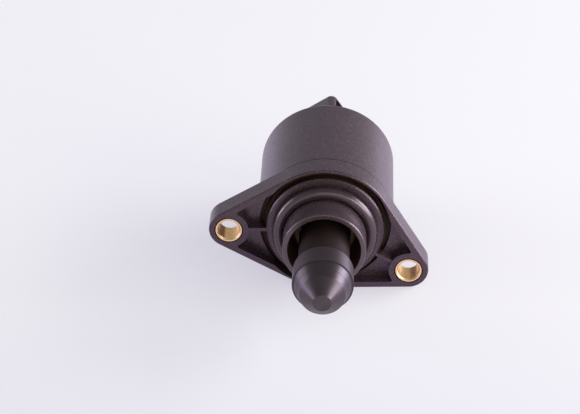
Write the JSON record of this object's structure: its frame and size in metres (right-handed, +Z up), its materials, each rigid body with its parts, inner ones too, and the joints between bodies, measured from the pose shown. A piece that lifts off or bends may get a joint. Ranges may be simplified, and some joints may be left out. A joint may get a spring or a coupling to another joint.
{
  "type": "idle air control valve",
  "caption": "Idle air control valve: a stepper motor in a round moulded case slides a conical pintle out of an O-ring sealed nose, behind a lugged mounting flange.",
  "frame": {"origin": "on the valve's axis, in the plane of the flange's mating face", "axes": "-Y along the valve's axis towards the pintle's tip, +Z up with the valve lying on its side as in the picture, on the body and the lower edge of the right lug"},
  "size_m": [0.056, 0.0801, 0.035],
  "materials": {
    "black_nylon": "fine spark texture",
    "black_acetal": "satin as moulded",
    "seal_rubber": "satin",
    "brass": "bright turned",
    "steel": "plated",
    "rotor_plastic": "natural",
    "ferrite": "dark grey, ground",
    "cage_plastic": "natural",
    "bronze": "sintered, oiled",
    "bobbin_plastic": "natural",
    "copper": "enamelled wire",
    "tinned_brass": "tin plated"
  },
  "bodies": {
    "housing": {"front_flange": "black_nylon", "rear_housing": "black_nylon", "left_mounting_bush": "brass", "right_mounting_bush": "brass", "nose_o_ring": "seal_rubber", "bearing_outer_ring": "steel", "bearing_retainer": "steel", "rear_bush": "bronze", "spring_washer": "steel", "front_stator_cup": "steel", "front_pole_plate": "steel", "rear_stator_cup": "steel", "rear_pole_plate": "steel", "front_bobbin": "bobbin_plastic", "rear_bobbin": "bobbin_plastic", "front_coil": "copper", "rear_coil": "copper", "terminal_pins": "tinned_brass"},
    "rotor": {"rotor_hub": "rotor_plastic", "rotor_magnet": "ferrite", "lead_nut": "brass", "bearing_inner_ring": "steel"},
    "ball_cage": {"bearing_cage": "cage_plastic", "bearing_balls": "steel"},
    "plunger": {"pintle": "black_acetal", "lead_screw": "steel"}
  },
  "joints": [
    {"name": "rotor_spin", "type": "hinge", "parent": "housing", "child": "rotor", "pos_m": [0, 0, 0], "axis": [0, -1, 0], "range_deg": [-2880, 540]},
    {"name": "cage_spin", "type": "hinge", "parent": "housing", "child": "ball_cage", "pos_m": [0, 0, 0], "axis": [0, -1, 0], "range_deg": [-1175.2, 221.2]},
    {"name": "pintle_slide", "type": "slide", "parent": "housing", "child": "plunger", "axis": [0, -1, 0], "range_m": [-0.00801, 0.00151]}
  ],
  "couplings": [
    {"joint": "cage_spin", "follows": "rotor_spin", "ratio": 0.4077},
    {"joint": "pintle_slide", "follows": "rotor_spin", "m_per_rad": 0.00015915}
  ]
}
